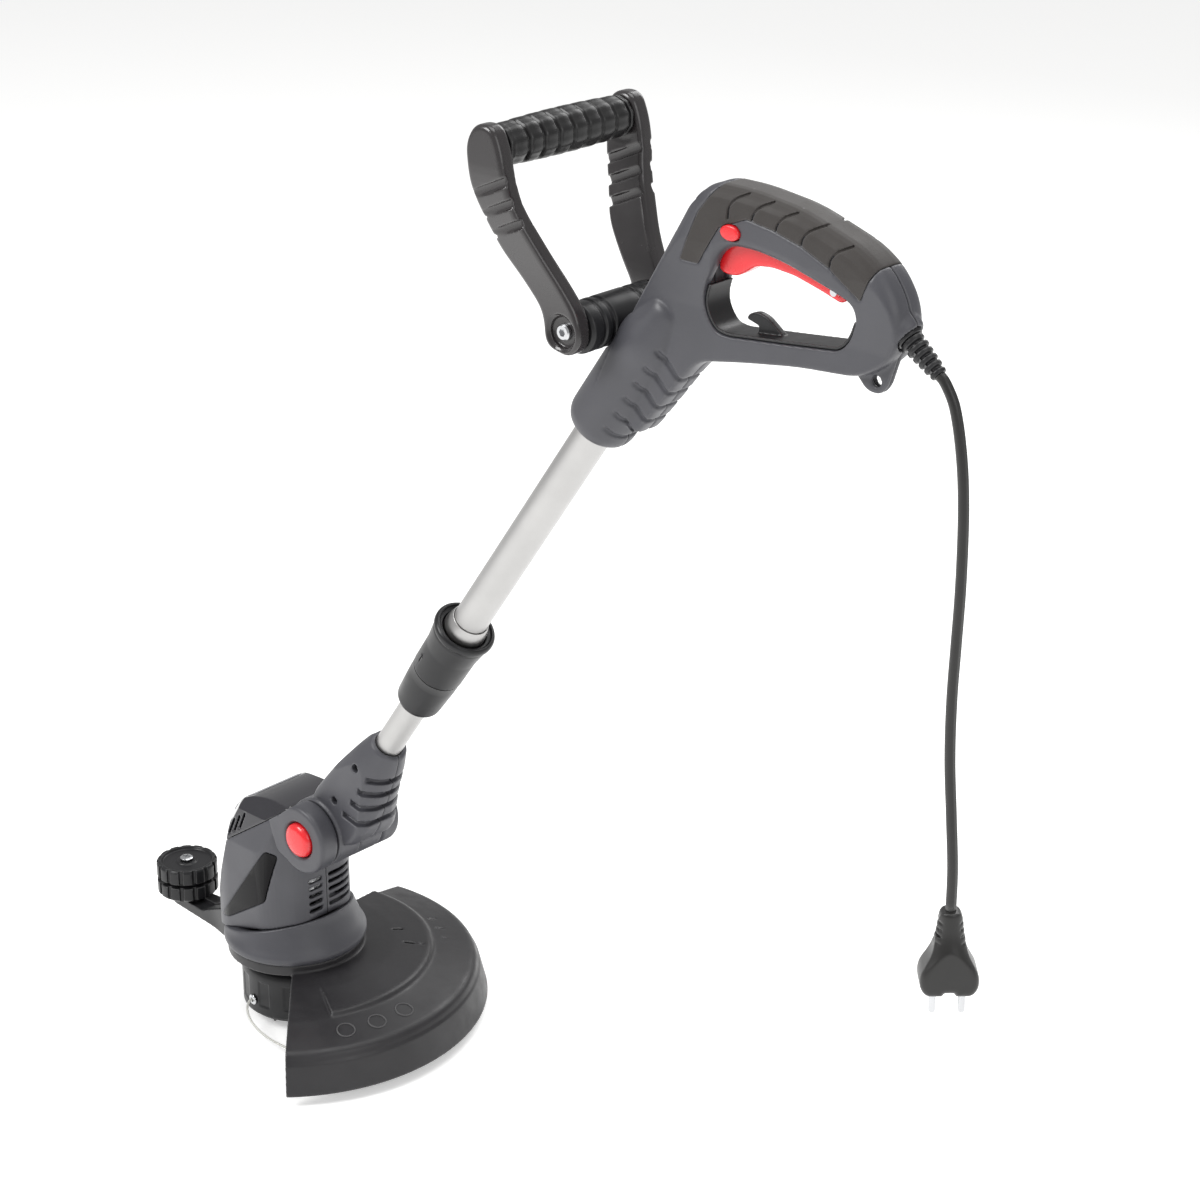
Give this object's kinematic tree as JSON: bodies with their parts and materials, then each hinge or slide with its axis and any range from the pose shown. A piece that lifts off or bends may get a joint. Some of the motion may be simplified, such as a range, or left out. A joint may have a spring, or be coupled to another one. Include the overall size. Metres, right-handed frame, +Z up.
{
  "type": "string trimmer",
  "caption": "Corded grass trimmer: rear loop handle, swinging front handle, telescopic shaft, tilting motor head with guide wheel, guard and bump-feed line spool.",
  "frame": {"origin": "middle of the rear grip, in the plane that halves the tool", "axes": "+Z up with the shaft in its working lean, +X back to the operator, +Y to the operator's right"},
  "size_m": [0.8276, 0.2655, 0.795],
  "materials": {
    "shell": "satin moulded ABS, dark grey",
    "black": "moulded nylon, black",
    "arm": "glossy moulded plastic, dark warm grey",
    "rubber": "soft overmoulded elastomer",
    "red": "glossy moulded ABS, red",
    "trim": "moulded trim, mid grey",
    "gloss": "polished moulded cap, black-grey",
    "guard": "moulded polypropylene, grained, charcoal",
    "alloy": "drawn tube, satin anodised silver",
    "steel": "zinc-plated or bright steel",
    "lead": "flexible sheathed mains lead, black",
    "nylon": "extruded nylon monofilament, clear white"
  },
  "bodies": {
    "handle": {"upper_tube": "alloy", "collar_base": "black", "collar_bush": "alloy", "housing_left": "shell", "housing_right": "shell", "soft_grip": "rubber", "edge_strip": "trim", "loop_liner": "black", "aux_barrel": "black", "switch_box": "black", "trigger_pin": "steel", "cable_gland": "black", "bend_relief": "black", "mains_cord": "lead", "plug_body": "lead", "plug_pin_1": "steel", "plug_pin_2": "steel"},
    "aux_handle": {"aux_arm_left": "arm", "aux_arm_right": "arm", "aux_grip": "rubber", "aux_crossbar": "black", "aux_bolt": "steel", "aux_nut": "steel"},
    "trigger": {"trigger": "red"},
    "lock_off": {"lock_off_button": "red"},
    "collar": {"collar_sleeve": "black"},
    "lower_shaft": {"lower_tube": "alloy", "neck_left": "shell", "neck_right": "shell"},
    "motor_head": {"motor_housing_left": "shell", "motor_housing_right": "shell", "top_cap": "gloss", "badge_left": "black", "badge_right": "black", "base_ring": "shell", "motor": "steel", "motor_bearing": "steel", "pivot_axle": "steel", "button_spring": "steel", "wheel_bracket": "black", "wheel_axle": "steel", "guard": "guard", "guard_screw_1": "steel", "guard_screw_2": "steel", "line_cutter": "steel"},
    "tilt_button": {"tilt_button": "red"},
    "guide_wheel": {"guide_wheel": "black"},
    "cutting_head": {"motor_shaft": "steel", "spool_housing": "black", "line_spool": "shell", "line_winding": "nylon", "eyelet_1": "steel", "eyelet_2": "steel", "cutting_line_1": "nylon", "cutting_line_2": "nylon", "feed_spring": "steel"},
    "bump_knob": {"bump_knob": "black"}
  },
  "joints": [
    {"name": "front_handle_swing", "type": "hinge", "parent": "handle", "child": "aux_handle", "pos_m": [-0.15, 0, -0.082], "axis": [0, 1, 0], "range_deg": [-60, 38]},
    {"name": "trigger_pull", "type": "hinge", "parent": "handle", "child": "trigger", "pos_m": [0.041, 0, -0.024], "axis": [0, 1, 0], "range_deg": [0, 5], "stiffness_Nm_per_rad": 2, "springref_deg": -8.59},
    {"name": "lock_off_press", "type": "slide", "parent": "handle", "child": "lock_off", "axis": [0, 1, 0], "range_m": [0, 0.0025], "stiffness_N_per_m": 400, "springref_m": -0.003},
    {"name": "collar_twist", "type": "hinge", "parent": "handle", "child": "collar", "pos_m": [-0.443, 0, -0.558], "axis": [0.5764, 0, 0.8171], "range_deg": [0, 70]},
    {"name": "shaft_telescope", "type": "slide", "parent": "handle", "child": "lower_shaft", "axis": [-0.5764, 0, -0.8171], "range_m": [-0.045, 0.2]},
    {"name": "head_tilt", "type": "hinge", "parent": "lower_shaft", "child": "motor_head", "pos_m": [-0.443, 0, -0.558], "axis": [0, 1, 0], "range_deg": [-25, 20]},
    {"name": "tilt_release", "type": "slide", "parent": "motor_head", "child": "tilt_button", "axis": [0, 1, 0], "range_m": [0, 0.003], "stiffness_N_per_m": 600, "springref_m": -0.003},
    {"name": "wheel_spin", "type": "hinge", "parent": "motor_head", "child": "guide_wheel", "pos_m": [-0.638, 0, -0.675], "axis": [0, 0, 1], "continuous": true},
    {"name": "line_spin", "type": "hinge", "parent": "motor_head", "child": "cutting_head", "pos_m": [-0.5, 0, -0.715], "axis": [0, 0, 1], "continuous": true},
    {"name": "bump_feed", "type": "slide", "parent": "cutting_head", "child": "bump_knob", "axis": [0, 0, 1], "range_m": [0, 0.005], "stiffness_N_per_m": 500, "springref_m": -0.003, "deforming": ["feed_spring"]}
  ]
}
